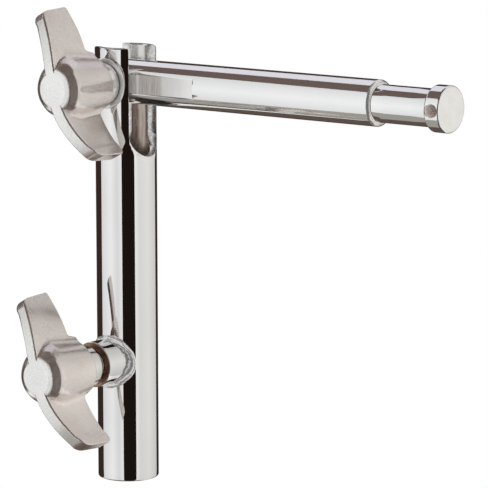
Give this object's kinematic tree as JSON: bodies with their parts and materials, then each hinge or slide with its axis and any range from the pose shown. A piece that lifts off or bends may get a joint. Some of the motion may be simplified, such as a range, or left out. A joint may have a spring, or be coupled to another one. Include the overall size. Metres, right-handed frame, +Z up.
{
  "type": "drop down pin",
  "caption": "Chromed socket tube with a clamping wing screw, carrying a spigot arm hinged in its forked top and held by a second wing knob.",
  "frame": {"origin": "centre of the receiver tube's open lower rim, where a stand's spigot enters", "axes": "+Z up along the tube, +X along the arm as it stands level at rest, -Y towards the two wing knobs"},
  "size_m": [0.1579, 0.0647, 0.1715],
  "materials": {
    "tube_chrome": "polished chrome plate",
    "arm_chrome": "polished chrome plate, milled flats",
    "boss_chrome": "chrome plate over a turned and welded boss",
    "zinc_steel": "turned, zinc plated",
    "cast_aluminium": "tumbled casting, fine matte grain"
  },
  "bodies": {
    "receiver": {"receiver_tube": "tube_chrome", "lock_boss": "boss_chrome", "boss_weld": "boss_chrome", "pivot_bolt": "zinc_steel", "tilt_washer": "zinc_steel"},
    "arm": {"pin_arm": "arm_chrome"},
    "tilt_nut": {"tilt_insert": "zinc_steel"},
    "tilt_wing": {"tilt_knob": "cast_aluminium"},
    "lock_stud": {"lock_screw": "zinc_steel"},
    "lock_wing": {"lock_knob": "cast_aluminium"}
  },
  "joints": [
    {"name": "arm_swing", "type": "hinge", "parent": "receiver", "child": "arm", "pos_m": [0, 0, 0.1445], "axis": [0, 1, 0], "range_deg": [-230, 50]},
    {"name": "tilt_nut_travel", "type": "slide", "parent": "receiver", "child": "tilt_nut", "axis": [0, -1, 0], "range_m": [0, 0.0025]},
    {"name": "tilt_knob_turn", "type": "hinge", "parent": "tilt_nut", "child": "tilt_wing", "pos_m": [0, -0.012, 0.1445], "axis": [0, -1, 0], "range_deg": [0, 719]},
    {"name": "lock_screw_travel", "type": "slide", "parent": "receiver", "child": "lock_stud", "axis": [0, -1, 0], "range_m": [-0.0023, 0.006]},
    {"name": "lock_knob_turn", "type": "hinge", "parent": "lock_stud", "child": "lock_wing", "pos_m": [0, -0.0224, 0.044], "axis": [0, -1, 0], "range_deg": [-550, 1438]}
  ],
  "couplings": [
    {"joint": "tilt_nut_travel", "follows": "tilt_knob_turn", "m_per_rad": 0.00019894},
    {"joint": "lock_screw_travel", "follows": "lock_knob_turn", "m_per_rad": 0.00023873}
  ]
}
